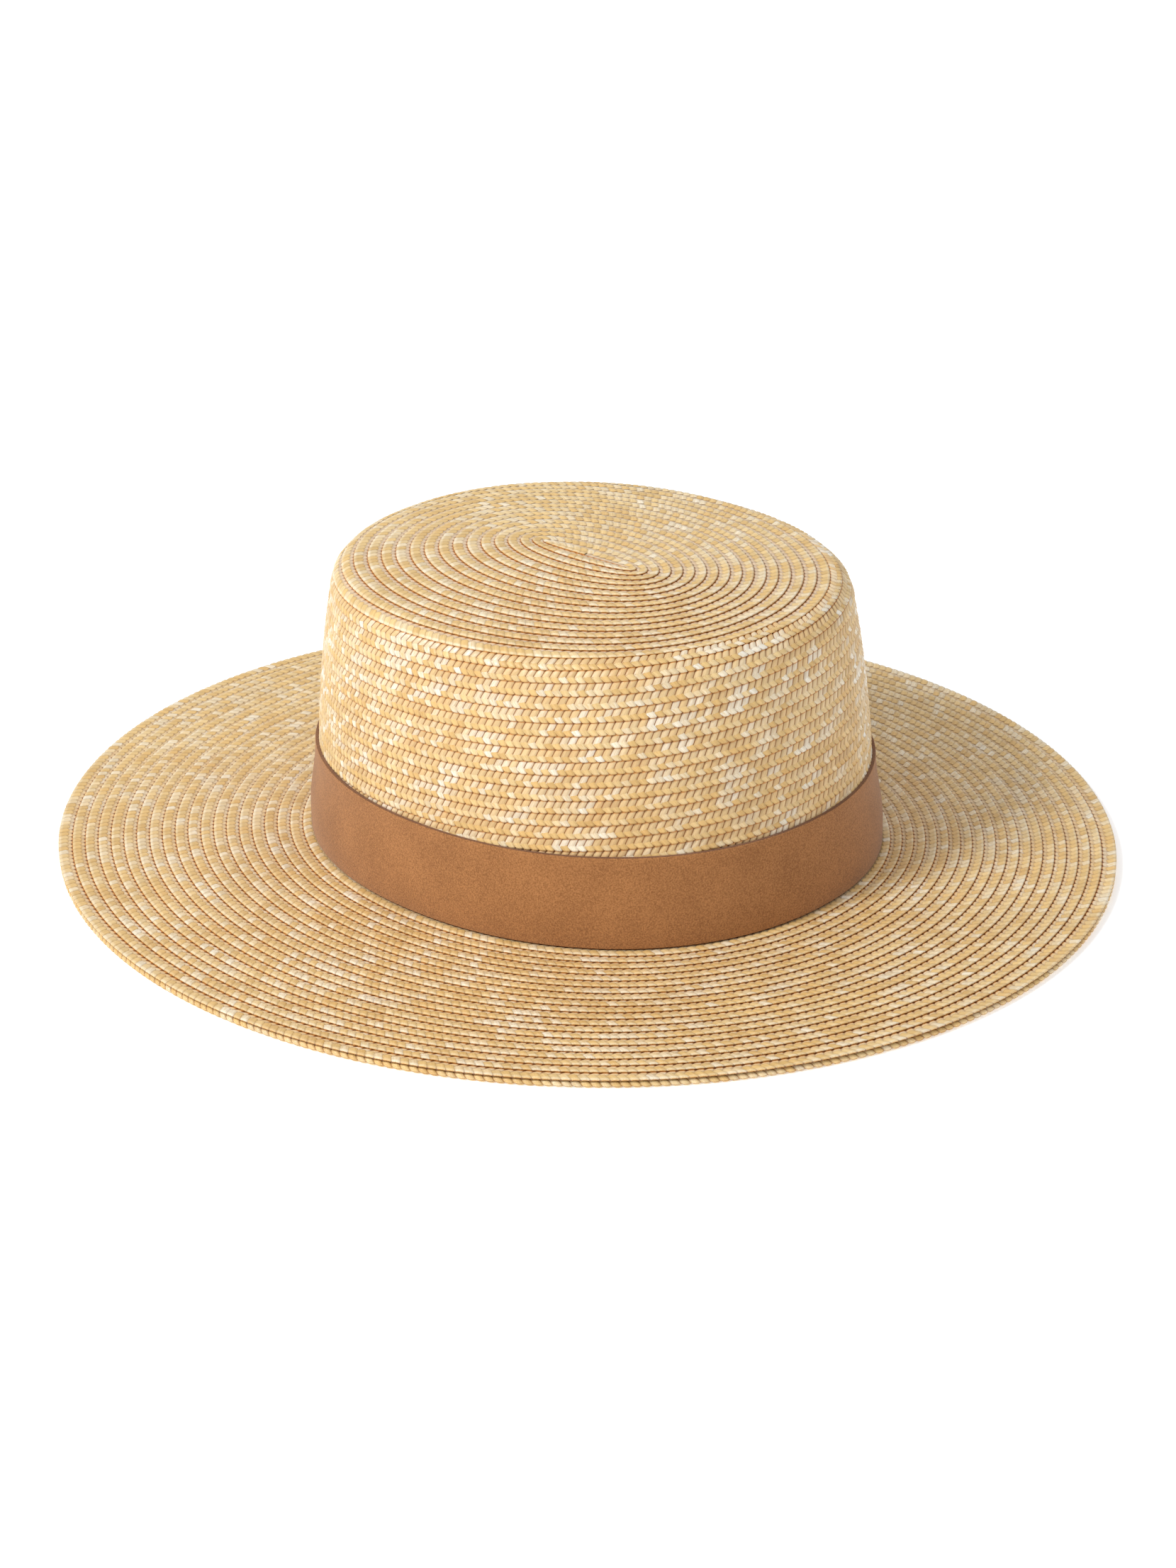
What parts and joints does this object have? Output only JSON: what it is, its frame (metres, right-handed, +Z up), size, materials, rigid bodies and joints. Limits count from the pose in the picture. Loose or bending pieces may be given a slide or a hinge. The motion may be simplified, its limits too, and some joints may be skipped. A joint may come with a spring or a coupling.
{
  "type": "boater hat",
  "caption": "Straw boater hat with a flat-topped oval crown, a wide flat brim whose edge is doubled back underneath, and a plain leather hatband round the crown.",
  "frame": {"origin": "on the surface that the hat rests on, under the middle of the brim's outline", "axes": "+Z up through the crown, -Y towards the front of the hat, Y along its long axis"},
  "size_m": [0.3524, 0.378, 0.103],
  "materials": {
    "straw": "satin plaited straw",
    "edge_straw": "satin plaited straw",
    "suede": "matt brushed leather"
  },
  "bodies": {
    "root": {"crown": "straw", "brim": "straw", "edge_row": "edge_straw", "hatband": "suede"}
  },
  "joints": []
}
